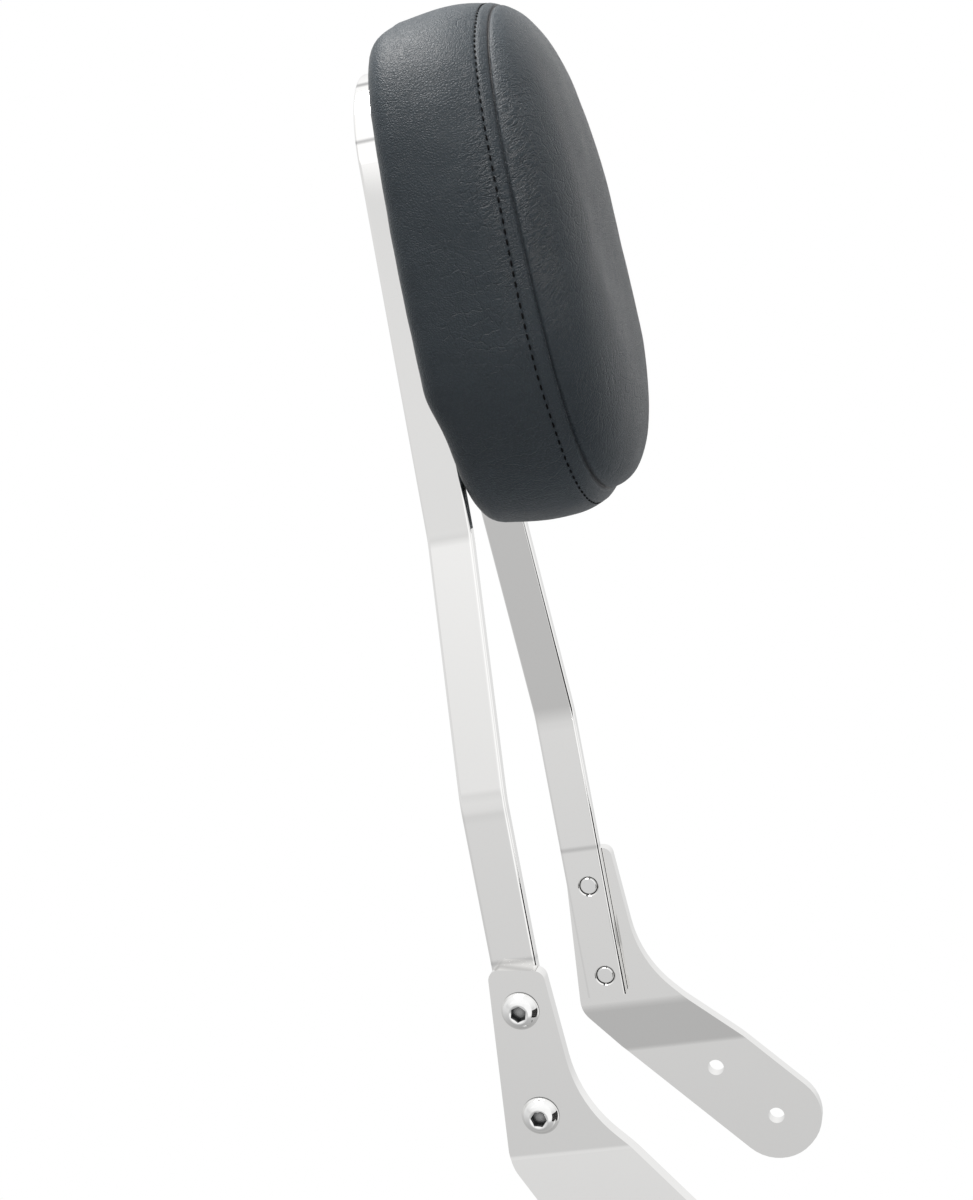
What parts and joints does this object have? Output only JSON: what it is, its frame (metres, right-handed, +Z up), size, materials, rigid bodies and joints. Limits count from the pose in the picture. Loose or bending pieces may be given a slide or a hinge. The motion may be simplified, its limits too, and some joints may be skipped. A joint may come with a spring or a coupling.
{
  "type": "sissy bar",
  "caption": "Flat-bar hoop leaning back from bent side plates, with a thick upholstered pad that supports a motorcycle passenger's back.",
  "frame": {"origin": "middle of the rear strut-bolt line, halfway between the side plates", "axes": "+X to the front of the motorcycle, +Y to its left along the strut bolts, +Z up"},
  "size_m": [0.2643, 0.273, 0.7261],
  "materials": {
    "chromed_bar": "polished",
    "chromed_plate": "polished",
    "polished_bolt": "polished",
    "board": "plain plywood",
    "foam": "open foam",
    "vinyl": "fine grain, semi-matt",
    "panel": "matt",
    "zinc_steel": "zinc plated"
  },
  "bodies": {
    "root": {"hoop": "chromed_bar", "right_side_plate": "chromed_plate", "left_side_plate": "chromed_plate", "right_upper_plate_bolt": "polished_bolt", "right_lower_plate_bolt": "polished_bolt", "left_upper_plate_bolt": "polished_bolt", "left_lower_plate_bolt": "polished_bolt", "upper_strap": "chromed_bar", "lower_strap": "chromed_bar", "pad_board": "board", "pad_foam": "foam", "front_cover": "vinyl", "side_cover": "vinyl", "back_panel": "panel", "upper_right_pad_screw": "zinc_steel", "upper_right_washer": "zinc_steel", "upper_right_tee_nut": "zinc_steel", "upper_left_pad_screw": "zinc_steel", "upper_left_washer": "zinc_steel", "upper_left_tee_nut": "zinc_steel", "lower_right_pad_screw": "zinc_steel", "lower_right_washer": "zinc_steel", "lower_right_tee_nut": "zinc_steel", "lower_left_pad_screw": "zinc_steel", "lower_left_washer": "zinc_steel", "lower_left_tee_nut": "zinc_steel"}
  },
  "joints": []
}
